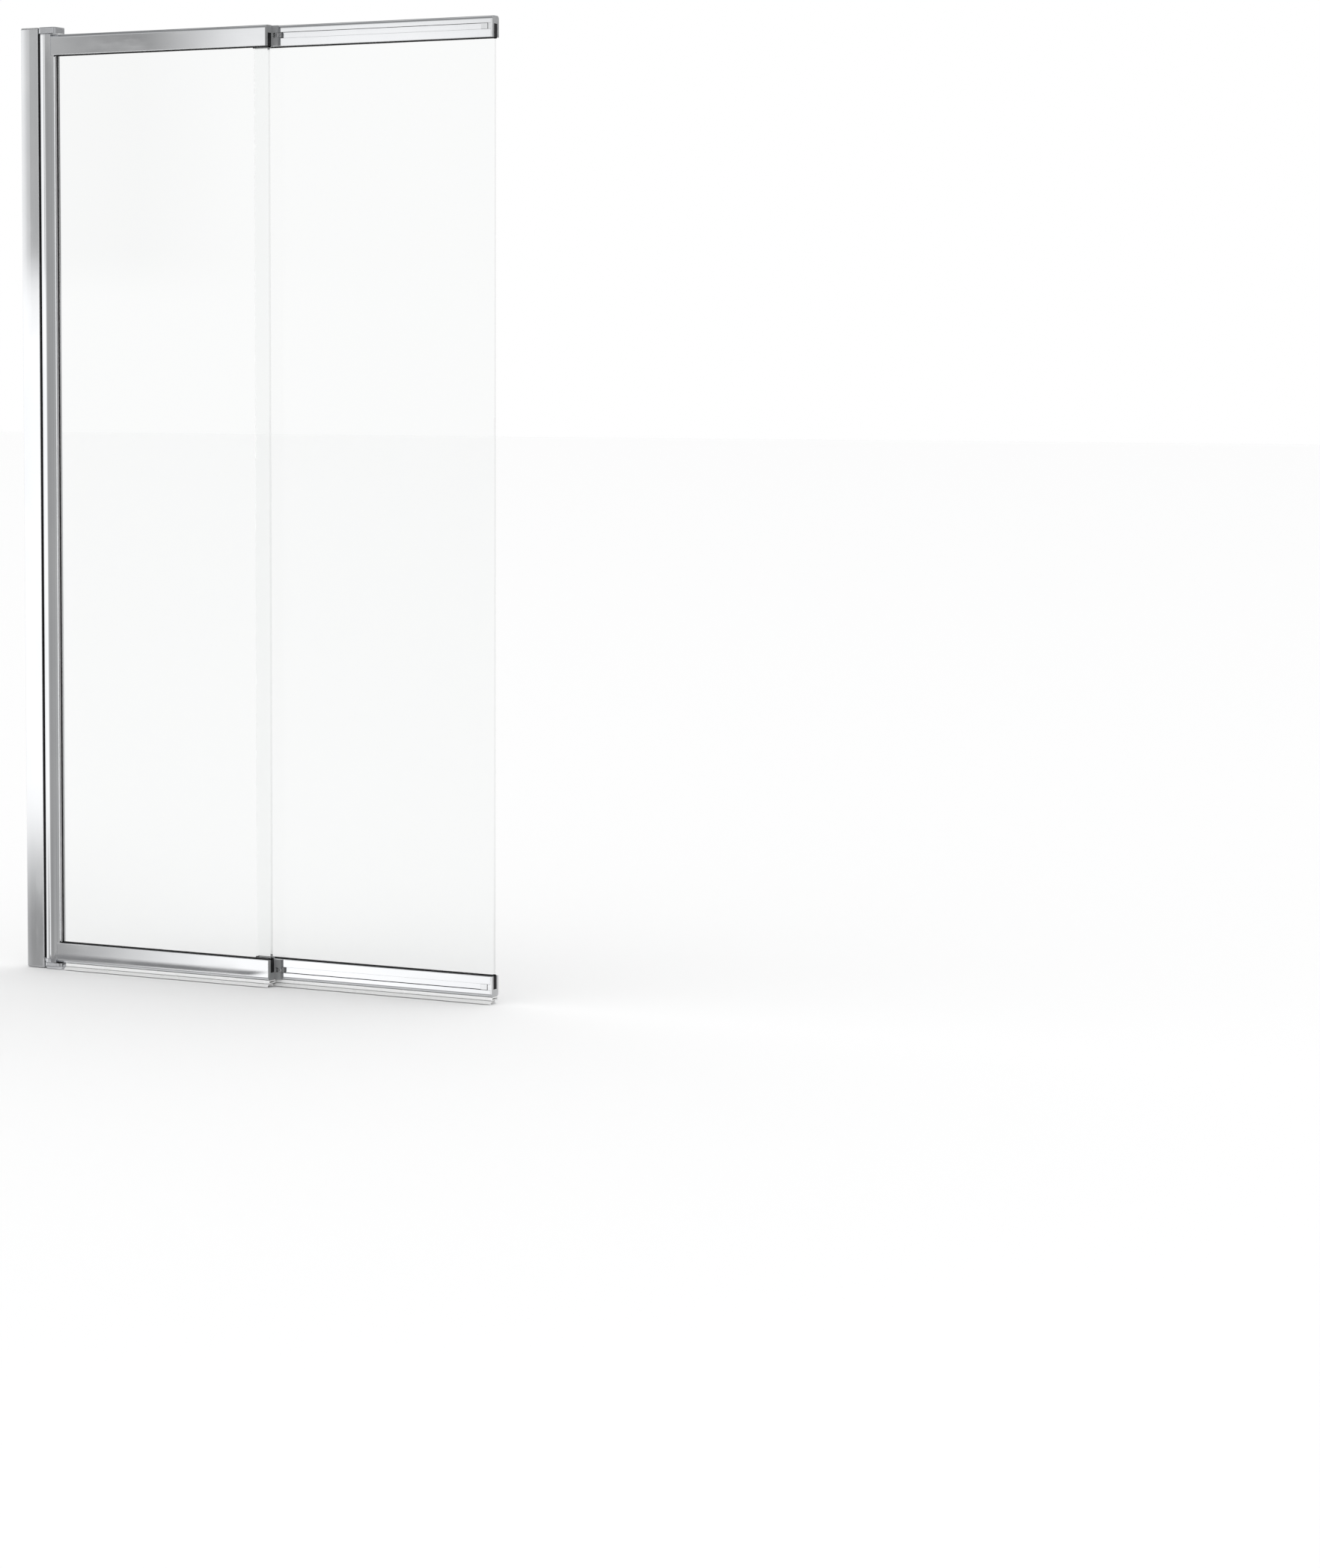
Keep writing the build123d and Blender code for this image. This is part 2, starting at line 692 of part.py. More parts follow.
# Sliders: each sits in its guide block and runs in the groove of a sliding rail
slide_face = slide_y - rail_depth / 2
with BuildPart() as slider_bottom:
    half_slider = slider_height / 2
    slider_z = (groove_z - half_slider, groove_z + half_slider)
    block((block_right, guide_block_reach), (slider_front, arm_rear), slider_z)
    block((block_right, slider_right), (arm_rear, slide_face + groove_lip + sliding_gap), slider_z)
    half_head = groove_cavity / 2 - sliding_gap
    block(
        (block_right, slider_right),
        (slide_face + groove_lip + sliding_gap, slide_face + groove_depth - sliding_gap),
        (groove_z - half_head, groove_z + half_head),
    )
    for side in (-1, 1):
        screw_hole(
            block_right + keyhole_inset,
            slider_front,
            groove_z + side * keyhole_spacing / 2,
            (0, 1, 0),
            keyhole_radius,
            guide_block_thickness,
        )
    slider_screw_x = slider_right - slider_screw_inset
    countersunk_hole(slider_screw_x, slider_front, groove_z, (0, 1, 0), guide_block_thickness)
keep("slider_bottom", slider_bottom)
keep("slider_top", upper(slider_bottom, panel_mid))
with BuildPart() as slider_screws:
    for height in (groove_z, 2 * panel_mid_z - groove_z):
        countersunk_screw(slider_screw_x, slider_front, height, (0, 1, 0), guide_block_thickness)
keep("slider_screws", slider_screws)

# Shoes on the sliding rails: a plug in the rail's own groove, a neck, a head that
# runs in the groove of the fixed rail, and a strap with a foot under the rail's edge
with BuildPart() as shoe_bottom:
    shoe_x = (shoe_left, shoe_right)
    half_plug = groove_cavity / 2 - push_gap
    half_neck = groove_opening / 2 - sliding_gap
    half_head = groove_cavity / 2 - sliding_gap
    block(
        shoe_x,
        (slide_face + groove_lip + push_gap, slide_face + groove_depth - push_gap),
        (groove_z - half_plug, groove_z + half_plug),
    )
    block(
        shoe_x,
        (groove_mouth - sliding_gap, slide_face + groove_lip + push_gap),
        (groove_z - half_neck, groove_z + half_neck),
    )
    block(
        shoe_x,
        (groove_floor + sliding_gap, groove_mouth - sliding_gap),
        (groove_z - half_head, groove_z + half_head),
    )
    block(shoe_x, (slide_face - shoe_strap, slide_face), (groove_z, rail_inner_z + shoe_foot))
    block(
        shoe_x,
        (slide_face - shoe_strap, slide_face + rail_wall - push_gap),
        (rail_inner_z, rail_inner_z + shoe_foot),
    )
    shoe_middle = (shoe_left + shoe_right) / 2
    shoe_screw_length = slide_face + groove_depth - groove_floor - sliding_gap - push_gap
    countersunk_hole(shoe_middle, groove_floor + sliding_gap, groove_z, (0, 1, 0), shoe_screw_length)
keep("shoe_bottom", shoe_bottom)
keep("shoe_top", upper(shoe_bottom, panel_mid))
with BuildPart() as shoe_screws:
    for height in (groove_z, 2 * panel_mid_z - groove_z):
        countersunk_screw(shoe_middle, groove_floor + sliding_gap, height, (0, 1, 0), shoe_screw_length)
keep("shoe_screws", shoe_screws)

# Inner end caps of the sliding rails
inner_outline = rail_outline(slide_left, slide_y)
with BuildPart() as inner_cap_bottom:
    extrude(inner_outline, amount=end_plate)
    chamber_spigot(slide_rail_left, slide_rail_left + spigot_length, slide_y)
keep("inner_cap_bottom", inner_cap_bottom)
keep("inner_cap_top", upper(inner_cap_bottom, panel_mid))

# Outer end caps: a plug closes the groove, and its tail under the lips is the stop
# that the slider meets when the leaf is pushed in
outer_outline = rail_outline(slide_rail_right, slide_y)
with BuildPart() as outer_cap_bottom:
    extrude(outer_outline, amount=outer_cap)
    chamber_spigot(slide_rail_right - spigot_length, slide_rail_right, slide_y)
    half_plug = groove_cavity / 2 - push_gap
    half_mouth = groove_opening / 2 - push_gap
    block(
        (slider_right + slide_travel + stop_gap, slide_rail_right),
        (slide_face + groove_lip + push_gap, slide_face + groove_depth - push_gap),
        (groove_z - half_plug, groove_z + half_plug),
    )
    block(
        (slide_right - outer_plug, slide_rail_right),
        (slide_face, slide_face + groove_lip + push_gap),
        (groove_z - half_mouth, groove_z + half_mouth),
    )
keep("outer_cap_bottom", outer_cap_bottom)
keep("outer_cap_top", upper(outer_cap_bottom, panel_mid))


def bath_seal(left, right, neck_left, neck_right, centre_y):
    """A hollow strip under a bottom rail, with a flared lip and a fin that meet the rim."""
    half = seal_depth / 2
    band_foot = rail_foot_z - seal_band
    with BuildPart() as seal:
        with BuildSketch(Plane.YZ.offset(left)):
            with Locations((centre_y, rail_foot_z)):
                Rectangle(seal_depth, seal_band, align=under_line)
            with Locations((centre_y, rail_foot_z - seal_wall)):
                Rectangle(
                    seal_depth - 2 * seal_wall,
                    seal_band - 2 * seal_wall,
                    align=under_line,
                    mode=Mode.SUBTRACT,
                )
            with BuildLine():
                Polyline(
                    (centre_y - half, band_foot + seal_wall / 2),
                    (centre_y - half - seal_flare, seal_tip),
                    (centre_y - half - seal_flare + seal_tip, 0),
                    (centre_y - half - seal_flare + 2 * seal_tip, 0),
                    (centre_y - half + 2 * seal_wall, band_foot + push_gap),
                    close=True,
                )
            make_face()
            with BuildLine():
                Polyline(
                    (centre_y - seal_wall / 2, band_foot + push_gap),
                    (centre_y + seal_wall / 2, band_foot + push_gap),
                    (centre_y + 2 * seal_wall, 0),
                    (centre_y + 2 * seal_wall - seal_tip, 0),
                    close=True,
                )
            make_face()
        extrude(amount=right - left)
        with BuildSketch(Plane.YZ.offset(neck_left)):
            with Locations((centre_y, rail_foot_z)):
                Rectangle(seal_neck, chamber_base, align=on_foot)
            with Locations((centre_y, chamber_foot_z)):
                Rectangle(seal_head, seal_head_thickness, align=on_foot)
        extrude(amount=neck_right - neck_left)
    return seal


fixed_neck = (fixed_seal_left + seal_neck_inset, fixed_rail_right - spigot_length - seal_neck_inset)
keep("fixed_seal", bath_seal(fixed_seal_left, block_right, *fixed_neck, 0))
slide_seal_left = slide_left + slide_seal_inset
slide_neck_ends = spigot_length + seal_neck_inset
slide_neck = (slide_rail_left + slide_neck_ends, slide_rail_right - slide_neck_ends)
keep("sliding_seal", bath_seal(slide_seal_left, slide_right, *slide_neck, slide_y))

for name, part in pieces.items():
    export_step(part, f"parts/{name}.step")
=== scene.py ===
import json
import math

import bmesh
import bpy
import numpy as np
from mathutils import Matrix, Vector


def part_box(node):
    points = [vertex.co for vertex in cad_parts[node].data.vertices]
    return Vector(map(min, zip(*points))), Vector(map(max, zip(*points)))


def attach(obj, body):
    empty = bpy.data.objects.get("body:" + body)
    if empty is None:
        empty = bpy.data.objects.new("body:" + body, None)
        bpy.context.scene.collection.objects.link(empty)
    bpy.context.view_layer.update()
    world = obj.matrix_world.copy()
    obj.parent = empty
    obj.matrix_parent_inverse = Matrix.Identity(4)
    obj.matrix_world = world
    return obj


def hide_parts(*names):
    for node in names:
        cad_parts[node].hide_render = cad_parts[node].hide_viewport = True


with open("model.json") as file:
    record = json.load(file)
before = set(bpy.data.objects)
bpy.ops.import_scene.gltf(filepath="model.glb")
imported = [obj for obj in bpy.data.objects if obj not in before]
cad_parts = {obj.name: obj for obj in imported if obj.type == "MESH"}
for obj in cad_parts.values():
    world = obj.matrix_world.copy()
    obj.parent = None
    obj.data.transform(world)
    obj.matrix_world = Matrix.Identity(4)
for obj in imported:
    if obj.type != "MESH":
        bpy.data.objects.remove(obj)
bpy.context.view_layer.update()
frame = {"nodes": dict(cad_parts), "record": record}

# The camera stands on the outer side of the screen, to the right and a little
# above its middle, and looks back at it. The picture is taken to be 1764 by 2096,
# and the lens comes from its focal length in pixels.
picture_height = 2096
focal_pixels = 5212.4
sensor = 36
centre_line = 880
camera_place = (3.5391, -4.7358, 0.8668)
turn, tilt, lean = (math.radians(v) for v in (27.571, 3.913, 0.204))
camera = bpy.data.objects.new("camera", bpy.data.cameras.new("camera"))
camera.data.sensor_width = sensor
camera.data.lens = focal_pixels / picture_height * sensor
camera.data.shift_y = (centre_line - picture_height / 2) / picture_height
camera.data.clip_end = 200
camera.rotation_mode = "XYZ"
camera.rotation_euler = (math.pi / 2 - tilt, -lean, turn)
camera.location = camera_place
bpy.context.scene.collection.objects.link(camera)
bpy.context.scene.camera = camera

# The light is a plain white studio with a broad lamp overhead. What polished metal
# shows of it goes by bearing, in degrees from straight out of the screen's outer side
# towards the wall, and by height, as the rise of a ray one metre long.
world = bpy.data.worlds.new("studio")
world.use_nodes = True
bpy.context.scene.world = world


class Socket:
    """A value in a material: sums and products of these add their Math nodes."""

    def __init__(self, tree, out):
        self.tree = tree
        self.out = out

    def node(self, kind, inputs=(), out=0, **settings):
        """Any node by its type, with its settings, then what goes into its sockets."""
        made = self.tree.nodes.new(kind)
        stops = settings.pop("stops", ())
        for key, value in settings.items():
            setattr(made, key, value)
        for i, (place, value) in enumerate(stops):
            stop = made.color_ramp.elements[i] if i < 2 else made.color_ramp.elements.new(place)
            stop.position = place
            stop.color = (value, value, value, 1)
        for name, value in dict(inputs).items():
            if isinstance(value, Socket):
                self.tree.links.new(value.out, made.inputs[name])
            else:
                made.inputs[name].default_value = value
        return Socket(self.tree, made.outputs[out])

    def axes(self):
        """The three numbers of a vector, each as a value of its own."""
        parts = self.node("ShaderNodeSeparateXYZ", {0: self}).out.node
        return [Socket(self.tree, out) for out in parts.outputs]

    def maths(self, operation, *values):
        """A Math node of these values, in their order, whatever this one is."""
        return self.node("ShaderNodeMath", dict(enumerate(values)), operation=operation)

    def __add__(self, other):
        return self.maths("ADD", self, other)

    def __radd__(self, other):
        return self.maths("ADD", other, self)

    def __sub__(self, other):
        return self.maths("SUBTRACT", self, other)

    def __rsub__(self, other):
        return self.maths("SUBTRACT", other, self)

    def __mul__(self, other):
        return self.maths("MULTIPLY", self, other)

    def __truediv__(self, other):
        return self.maths("DIVIDE", self, other)

    def smooth(self, low, high, to_low=0.0, to_high=1.0):
        """A smooth step from one value to another as this one goes from low to high."""
        sockets = {"Value": self, "From Min": low, "From Max": high, "To Min": to_low, "To Max": to_high}
        return self.node("ShaderNodeMapRange", sockets, interpolation_type="SMOOTHSTEP")

    def within(self, low, high, edge=0.0002):
        """One between two values and nothing outside them, with soft edges."""
        return self.smooth(low, low + edge) * self.smooth(high - edge, high, 1.0, 0.0)

    def blend(self, first, second):
        """A colour between two, with this value as the share of the second."""
        pair = {i: (*v, 1) if isinstance(v, tuple) else v for i, v in ((6, first), (7, second))}
        return self.node("ShaderNodeMix", {0: self, **pair}, out=2, data_type="RGBA")


sky = Socket(world.node_tree, None)
east, north, height = sky.node("ShaderNodeTexCoord").axes()
bearing = 0.5 + east.maths("ARCTAN2", east, 0 - north) / (2 * math.pi)
white = 1.25


def belt(*readings):
    """One belt of the studio, from pairs of bearing and brightness, as shares of white."""
    stops = sorted((0.5 - degrees / 360, value / white) for degrees, value in readings)
    return bearing.node("ShaderNodeValToRGB", {0: bearing}, stops=stops)


over_eye = belt(
    (180, 0.9), (150, 0.6), (118, 1.0), (97, 0.85), (77, 1.1), (57, 1.2), (49, 1.0), (43, 0.74),
    (38, 0.56), (36.4, 0.5), (35.7, 0.34), (35.2, 0.27), (34.9, 0.27), (34.6, 0.45), (34.2, 0.85),
    (33.4, 1.1), (31, 1.15), (28.5, 0.95), (17, 0.42), (-3, 0.36), (-28, 0.38), (-60, 0.42),
    (-95, 0.8), (-120, 0.5), (-150, 0.2), (-165, 0.4),
)
level_with_eye = belt(
    (180, 1.0), (150, 0.7), (118, 1.1), (97, 1.0), (77, 1.15), (57, 1.2), (33, 1.25), (28, 1.0),
    (17, 0.42), (-3, 0.37), (-28, 0.38), (-60, 0.42), (-95, 0.8), (-120, 0.9), (-145, 0.5),
    (-160, 0.6),
)
under_eye = belt(
    (180, 0.8), (150, 0.6), (118, 0.8), (77, 1.0), (57, 0.6), (45, 0.36), (36.7, 0.3), (36.2, 0.28),
    (35.8, 0.36), (35.4, 0.55), (35.0, 0.95), (34.4, 1.2), (32, 1.25), (28, 1.0), (17, 0.42),
    (-3, 0.30), (-28, 0.40), (-60, 0.46), (-95, 0.7), (-120, 0.8), (-145, 0.55), (-160, 0.6),
)
# Each tone gives way to the next over a span of heights.
level_foot = (-0.136, -0.1)
level_head = (0.021, 0.036)
belts_head = (0.0935, 0.0965)
ceiling = (0.2, 0.5)
ground = (-0.17, -0.22)
near_ground = (-0.55, -0.8)
shown = height.smooth(*level_foot).blend(under_eye, level_with_eye)
shown = height.smooth(*level_head).blend(shown, over_eye)
shown = height.smooth(*belts_head).blend(shown, (0.52, 0.522, 0.525))
shown = height.smooth(*ceiling).blend(shown, (0.21, 0.213, 0.216))
shown = height.smooth(*ground).blend(shown, (0.34, 0.34, 0.345))
shown = height.smooth(*near_ground).blend(shown, (0.62, 0.62, 0.62))
# Only mirrored rays see these tones. To all others the studio is plain white.
is_diffuse, is_reflection = 2, 5
bounced = sky.node("ShaderNodeLightPath", out=is_reflection)
scattered = sky.node("ShaderNodeLightPath", out=is_diffuse)
mirrored = bounced * (1 - scattered)
light_colour = mirrored.blend((1 / white, 1 / white, 1 / white), shown)
background = world.node_tree.nodes["Background"]
world.node_tree.links.new(light_colour.out, background.inputs["Color"])
background.inputs["Strength"].default_value = white
lamp_strength = 0.35
lamp_spread = math.radians(70)
lamp = bpy.data.objects.new("overhead_lamp", bpy.data.lights.new("overhead_lamp", "SUN"))
lamp.data.energy = lamp_strength
lamp.data.angle = lamp_spread
bpy.context.scene.collection.objects.link(lamp)
bpy.context.scene.view_settings.view_transform = "Standard"

# The floor is one plain pale sheet, a little under the lips of the seals. Polished
# metal doesn't show it, and shows the ground of the studio in its place.
floor_half = 60
floor_drop = 0.0008
floor_mesh = bpy.data.meshes.new("floor")
corners = np.array([(-1, -1, 0), (1, -1, 0), (1, 1, 0), (-1, 1, 0)], float) * floor_half
corners[:, 2] = -floor_drop
floor_mesh.from_pydata(corners, [], [(0, 1, 2, 3)])
floor = bpy.data.objects.new("floor", floor_mesh)
bpy.context.scene.collection.objects.link(floor)
floor_paint = bpy.data.materials.new("floor_paint")
floor_paint.use_nodes = True
shader = floor_paint.node_tree.nodes["Principled BSDF"]
shader.inputs["Base Color"].default_value = (0.94, 0.94, 0.94, 1)
shader.inputs["Roughness"].default_value = 0.8
floor_mesh.materials.append(floor_paint)
floor.visible_glossy = False

# A grey strip on the floor in front is seen only in reflections. It draws the soft
# dark line that runs along the fixed rail a little over its lower edge.
strip_x = (-0.035, 0.362)
strip_y = (-0.152, -0.096)
strip_fade = 0.034
strip_mesh = bpy.data.meshes.new("reflected_strip")
corners = np.array([(i, j, -floor_drop / 2) for i in strip_x for j in strip_y])
strip_mesh.from_pydata(corners, [], [(0, 2, 3, 1)])
strip = bpy.data.objects.new("reflected_strip", strip_mesh)
bpy.context.scene.collection.objects.link(strip)
strip_paint = bpy.data.materials.new("strip_paint")
strip_paint.use_nodes = True
shader = strip_paint.node_tree.nodes["Principled BSDF"]
shader.inputs["Base Color"].default_value = (0.26, 0.26, 0.265, 1)
shader.inputs["Roughness"].default_value = 1.0
place = Socket(strip_paint.node_tree, None).node("ShaderNodeTexCoord", out=3)
along, across = place.axes()[:2]
fade = across.smooth(strip_y[0], strip_y[0] + strip_fade)
fade = fade * along.smooth(strip_x[1] - strip_fade, strip_x[1], 1.0, 0.0)
strip_paint.node_tree.links.new(fade.out, shader.inputs["Alpha"])
strip_mesh.materials.append(strip_paint)
for ray in ("camera", "diffuse", "transmission", "volume_scatter", "shadow"):
    setattr(strip, "visible_" + ray, False)


# The wall channel is a U of drawn aluminium that is screwed to the wall and then
# hidden in the profile. It keeps the dull skin that it has from the mill.
def finish_of(name, **constants):
    """A new material, its object coordinates in metres, and a call that feeds its shader."""
    material = bpy.data.materials.new(name)
    material.use_nodes = True
    shader = material.node_tree.nodes["Principled BSDF"]
    for key, value in constants.items():
        shader.inputs[key.replace("_", " ")].default_value = value
    place = Socket(material.node_tree, None).node("ShaderNodeTexCoord", out=3)

    def feed(name, socket):
        material.node_tree.links.new(socket.out, shader.inputs[name])

    return material, place, feed


def stretched(place, scale):
    """The coordinates scaled by three numbers, so that a pattern runs out along one axis."""
    return place.node("ShaderNodeVectorMath", {0: place, 1: scale}, operation="MULTIPLY")


def noise(place, scale, detail=3.0, roughness=0.5):
    """A cloudy pattern from nought to one, with about scale patches to each unit."""
    sockets = {"Vector": place, "Scale": scale, "Detail": detail, "Roughness": roughness}
    return place.node("ShaderNodeTexNoise", sockets)


def relief(place, height, strength, depth, edge_radius=0.0):
    """The surface's normal with a fine relief on it, and sharp edges rounded to a radius."""
    sockets = {"Strength": strength, "Distance": depth, "Height": height}
    if edge_radius:
        sockets["Normal"] = place.node("ShaderNodeBevel", {"Radius": edge_radius}, samples=6)
    return place.node("ShaderNodeBump", sockets)


def dress(nodes, material):
    """Gives the nodes of the frame this material in every slot."""
    for name in nodes:
        mesh = frame["nodes"][name].data
        for i in range(len(mesh.materials)):
            mesh.materials[i] = material


dull_metal, place, feed = finish_of("dull_metal", Metallic=1.0)
skin = noise(stretched(place, (600, 600, 4)), 1.0)
feed("Base Color", skin.blend((0.60, 0.61, 0.62), (0.70, 0.71, 0.72)))
feed("Roughness", 0.34 + skin * 0.14)
feed("Normal", relief(place, skin, 0.3, 0.00004))
dress(["wall_channel"], dull_metal)

# The wall profile slides over that channel. It is drawn aluminium, brushed along its
# length, polished and plated bright, and a little clouded where wet hands take hold.
# Near black, for the painted shade lines in the grooves of the rails.
painted_shade_colour = (0.03, 0.03, 0.032)


def bright_metal(name, along, shade_mask=None, edge_radius=0.0005):
    """A plated metal with faint draw lines along one axis, and painted shade where told."""
    lines = tuple(3 if axis == along else 900 for axis in "xyz")
    clouds = tuple(1 if axis == along else 2.5 for axis in "xyz")
    material, place, feed = finish_of(name, Metallic=1.0)
    draw = noise(stretched(place, lines), 1.0, 2.0)
    cloud = noise(stretched(place, clouds), 9.0, 4.0)
    spots = noise(place, 240.0, 2.0).smooth(0.66, 0.74)
    colour = cloud.smooth(0.35, 0.7).blend((0.80, 0.81, 0.825), (0.85, 0.858, 0.87))
    # Painted shade: where the mask is one, the colour goes near black for the shade in a groove's
    # corners.
    if shade_mask:
        colour = shade_mask(place).blend(colour, painted_shade_colour)
    feed("Base Color", colour)
    feed("Roughness", 0.035 + cloud.smooth(0.45, 0.75) * 0.045 + draw * 0.02 + spots * 0.012)
    feed("Normal", relief(place, draw, 0.12, 0.00002, edge_radius))
    return material


dress(["wall_profile"], bright_metal("bright_metal_profile", "z", edge_radius=0.0014))


# Two thin plates close the ends of the wall profile. They are moulded in a grey
# plastic with metal pigment, and their ribs grip inside the profile.
def moulded(name, dark, light, grain, shine):
    """A moulded plastic with a fine satin grain and faint flow marks."""
    material, place, feed = finish_of(name)
    skin = noise(place, 2200.0, 2.0)
    flow = noise(place, 60.0)
    feed("Base Color", flow.smooth(0.3, 0.7).blend(dark, light))
    feed("Roughness", shine + flow * 0.12 + skin * 0.06)
    feed("Normal", relief(place, skin, grain, 0.00005, 0.0003))
    return material


cap_grey = moulded("cap_grey", (0.27, 0.275, 0.28), (0.33, 0.335, 0.34), 0.2, 0.24)
dress(["wall_cap_bottom", "wall_cap_top"], cap_grey)

# The brackets reach out of the wall profile under and over the post, and the post's
# foot and head plug into its ends. All are zinc die castings, plated bright over a
# skin with a slight ripple.
casting, place, feed = finish_of("plated_casting", Metallic=1.0)
ripple = noise(place, 160.0)
dulled = noise(place, 30.0).smooth(0.45, 0.75)
feed("Base Color", dulled.blend((0.70, 0.71, 0.73), (0.62, 0.63, 0.65)))
feed("Roughness", 0.09 + dulled * 0.08)
feed("Normal", relief(place, ripple, 0.2, 0.00012, 0.0006))
dress(["hinge_bracket_bottom", "hinge_bracket_top", "post_foot", "post_head"], casting)

# The hinge pins are pressed into the brackets, and small screws hold the rest. They
# are turned steel with a bright but scuffed surface.
turned_steel, place, feed = finish_of("turned_steel", Metallic=1.0)
scuff = noise(place, 700.0)
feed("Base Color", scuff.blend((0.56, 0.56, 0.57), (0.72, 0.72, 0.73)))
feed("Roughness", 0.22 + scuff * 0.18)
feed("Normal", relief(place, scuff, 0.2, 0.00003, 0.0002))
pins = ["hinge_pin_bottom", "hinge_pin_top"]
wall_screws = ["bracket_screws", "adjuster_screws"]
leaf_screws = ["rail_screws", "guide_block_screws", "slider_screws", "shoe_screws"]
dress(pins + wall_screws + leaf_screws, turned_steel)

# The post turns on the pins in two bushes and stands on a washer, all of them
# moulded in white plastic.
bush_white = moulded("bush_white", (0.80, 0.80, 0.77), (0.86, 0.86, 0.84), 0.2, 0.35)
dress(["pivot_bush_bottom", "pivot_bush_top", "thrust_washer"], bush_white)

# The hinge post is a drawn tube with a channel for the pane on the side away from the
# wall, finished like the wall profile.
dress(["hinge_post"], bright_metal("bright_metal_post", "z"))

# Two soft rubber strips close the gap between the wall profile and the post. Each is
# an extruded bulb on a barb that is pushed into the profile, and only the bulb shows.
hinge_x = frame["record"]["behaviour"]["joints"][0]["pos_m"][0]
recess_radius = 0.0163
bulb_height = 0.0024
bulb_half_angle = math.radians(8.5)
bulb_middle = math.radians(25.0)
bulb_points = 17


def drawn(axis, reach, outline, bore=None, stations=2):
    """A section drawn along X or Z: its points and its blocks of faces, closed at both ends.

    Grid point (i, j) is the j-th point of the outline at the i-th station of the reach.
    A bore is a second outline with as many points, and the ends are then rings of quads.
    """
    rings = [outline] if bore is None else [outline, bore]
    count = len(outline)
    section = np.vstack(rings)
    along = np.linspace(*reach, stations)
    grid = np.empty((stations, len(section), 3))
    first, second = {"x": (1, 2), "z": (0, 1)}[axis]
    grid[..., {"x": 0, "z": 2}[axis]] = along[:, None]
    grid[..., first] = section[:, 0]
    grid[..., second] = section[:, 1]
    station = np.arange(stations - 1)[:, None, None] * len(section)
    to_next = np.array([0, 0, 1, 1]) * len(section)
    blocks = []
    for k in range(len(rings)):
        here = k * count + np.arange(count)
        after = k * count + (np.arange(count) + 1) % count
        side = np.stack([here, after, after, here], -1) + to_next
        blocks.append((station + side).reshape(-1, 4))
    for start in (0, (stations - 1) * len(section)):
        here = start + np.arange(count)
        after = start + (np.arange(count) + 1) % count
        if bore is None:
            blocks.append(here[None, :])
        else:
            blocks.append(np.stack([here, after, after + count, here + count], -1))
    return grid.reshape(-1, 3), blocks


def soft_piece(name, node, body, material, shells):
    """A new piece of one or more shells, which stands for a soft node of the frame."""
    points, faces, base = [], [], 0
    for shell_points, blocks in shells:
        points.append(shell_points)
        for block in blocks:
            faces += (block + base).tolist()
        base += len(shell_points)
    mesh = bpy.data.meshes.new(name)
    mesh.from_pydata(np.vstack(points).tolist(), [], faces)
    shape = bmesh.new()
    shape.from_mesh(mesh)
    bmesh.ops.recalc_face_normals(shape, faces=shape.faces)
    shape.to_mesh(mesh)
    shape.free()
    mesh.shade_smooth()
    mesh.set_sharp_from_angle(angle=math.radians(40))
    mesh.materials.append(material)
    piece = bpy.data.objects.new(name, mesh)
    bpy.context.scene.collection.objects.link(piece)
    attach(piece, body)
    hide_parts(node)


def rubber(name, base, bloomed, shine):
    """An extruded rubber, matt, with a slight bloom where soap has dried."""
    material, place, feed = finish_of(name, Specular_IOR_Level=0.3)
    grain = noise(place, 1500.0)
    bloom = noise(place, 45.0, 4.0, 0.6).smooth(0.5, 0.78)
    feed("Base Color", bloom.blend(base, bloomed))
    feed("Roughness", shine + bloom * 0.2 + grain * 0.1)
    feed("Normal", relief(place, grain, 0.35, 0.00006))
    return material


def bulb_outline(side):
    """The outline of the front (-1) or rear (1) bulb, round the hinge line.

    Its back is an arc of the profile's recess. At each angle its face stands off the
    back by the bulb's height times the root of one less the fourth power of the share
    of the half angle.
    """
    share = np.linspace(-1, 1, bulb_points)
    angle = math.pi - side * bulb_middle + share * bulb_half_angle
    radius = recess_radius - bulb_height * np.sqrt(1 - share**4)
    back = np.stack([hinge_x + recess_radius * np.cos(angle), recess_radius * np.sin(angle)], -1)
    face = np.stack([hinge_x + radius * np.cos(angle), radius * np.sin(angle)], -1)
    return np.vstack([back, face[-2:0:-1]])


black_rubber = rubber("black_rubber", (0.011, 0.011, 0.012), (0.035, 0.035, 0.037), 0.5)
for side, end in ((-1, "front"), (1, "rear")):
    node = "hinge_seal_" + end
    low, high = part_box(node)
    shells = [drawn("z", (low.z, high.z), bulb_outline(side))]
    soft_piece(node + "_strip", node, "wall_body", black_rubber, shells)

# The four rails have one section: a slot for the pane with softly rounded edges, and
# a groove in the face towards the other leaf. They are finished like the post, and a
# fine dark line of painted shade lies in both corners of each groove.
groove_centre = 0.01435
groove_clean_half = 0.0037
groove_cavity_half = 0.006
groove_lip = 0.0011
groove_depth = 0.0033
shade_edge = 0.0003
